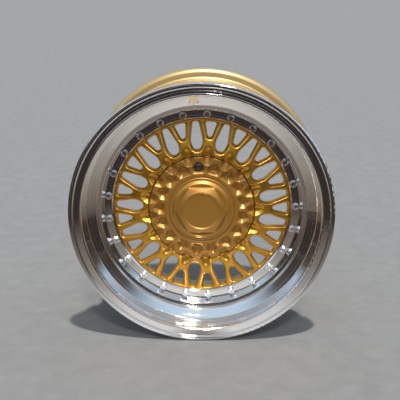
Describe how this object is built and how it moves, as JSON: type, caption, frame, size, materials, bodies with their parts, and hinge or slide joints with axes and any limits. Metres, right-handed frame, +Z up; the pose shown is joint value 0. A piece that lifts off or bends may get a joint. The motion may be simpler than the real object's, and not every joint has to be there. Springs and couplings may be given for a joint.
{
  "type": "split racing wheel rim",
  "caption": "Deep-dish split racing wheel: polished stepped lip, painted barrel and cross-spoke mesh centre, bolted together, with a lift-off cap plate and a screw-on hexagonal centre cap.",
  "frame": {"origin": "on the wheel's axis, midway between the two flange edges", "axes": "+Y along the wheel's axis towards the car, -Y is the outboard side, +Z is up with the wheel standing, +X is to the right seen from outboard"},
  "size_m": [0.416, 0.228, 0.416],
  "materials": {
    "polished_lip": "machined and polished",
    "gold_barrel": "metallic gold paint",
    "gold_mesh": "metallic gold paint",
    "bronze_plate": "satin metallic gold paint",
    "chrome_fastener": "bright chrome",
    "zinc_fastener": "zinc plated",
    "steel_insert": "plain steel",
    "machined_alloy": "as turned",
    "dark_screw": "black oxide",
    "sealant": "cured sealant",
    "rubber_seal": "black nitrile"
  },
  "bodies": {
    "rim": {"outer_lip": "polished_lip", "inner_barrel": "gold_barrel", "centre_disc": "gold_mesh", "assembly_bolts": "chrome_fastener", "nut_washers": "zinc_fastener", "assembly_nuts": "zinc_fastener", "rim_seal": "sealant", "lug_seat_inserts": "steel_insert", "cap_carrier": "machined_alloy", "carrier_clip": "steel_insert", "plate_screw_insert": "steel_insert"},
    "plate": {"cap_plate": "bronze_plate"},
    "cap_seal": {"cap_o_ring": "rubber_seal"},
    "cap": {"hex_cap": "bronze_plate"},
    "screw_washer": {"plate_screw_washer": "dark_screw"},
    "screw": {"plate_screw": "dark_screw"}
  },
  "joints": [
    {"name": "plate_lift", "type": "slide", "parent": "rim", "child": "plate", "axis": [0, -1, 0], "range_m": [0, 0.06]},
    {"name": "cap_lift", "type": "slide", "parent": "plate", "child": "cap_seal", "axis": [0, -1, 0], "range_m": [0, 0.0125]},
    {"name": "cap_turn", "type": "hinge", "parent": "cap_seal", "child": "cap", "pos_m": [0, -0.07, 0], "axis": [0, 1, 0], "range_deg": [-1801, 1]},
    {"name": "screw_lift", "type": "slide", "parent": "plate", "child": "screw_washer", "axis": [0, -1, 0], "range_m": [0, 0.008]},
    {"name": "screw_turn", "type": "hinge", "parent": "screw_washer", "child": "screw", "pos_m": [-0.00513, -0.06, 0.06821], "axis": [0, 1, 0], "range_deg": [-2881, 1]}
  ],
  "couplings": [
    {"joint": "cap_turn", "follows": "cap_lift", "rad_per_m": -2513.3},
    {"joint": "screw_turn", "follows": "screw_lift", "rad_per_m": -6283.2}
  ]
}
